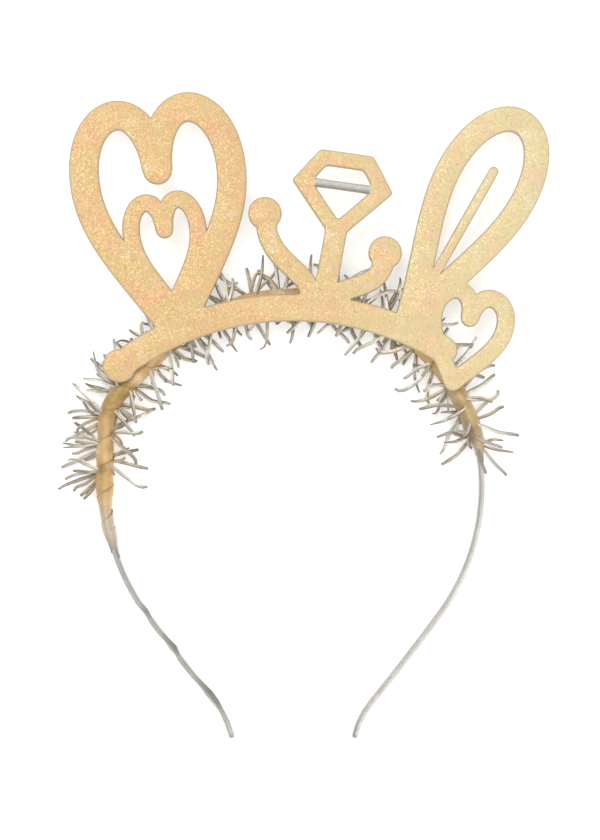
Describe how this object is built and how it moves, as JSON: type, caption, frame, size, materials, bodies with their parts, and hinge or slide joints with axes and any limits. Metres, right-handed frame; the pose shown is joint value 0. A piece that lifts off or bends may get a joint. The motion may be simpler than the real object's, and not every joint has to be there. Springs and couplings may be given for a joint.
{
  "type": "bridal headband",
  "caption": "Sprung metal headband wound with gold ribbon and a tinsel fringe, carrying a die-cut glitter panel of a heart, a gem and a leaf above the brow.",
  "frame": {"origin": "centre of the outline, on the surface that the headband lies on", "axes": "+Z out of the glitter panel's face, away from the surface; +Y from the band's tips to the panel's top; +X to the leaf's side"},
  "size_m": [0.162, 0.2136, 0.0114],
  "materials": {
    "band_metal": "champagne plated spring steel",
    "gold_ribbon": "gold satin ribbon",
    "tinsel_foil": "silver and champagne metallised film",
    "glitter_board": "fine gold glitter on die-cut board"
  },
  "bodies": {
    "root": {"head_band": "band_metal", "ribbon_wrap": "gold_ribbon", "tinsel_garland": "tinsel_foil", "scroll_panel": "glitter_board"}
  },
  "joints": []
}
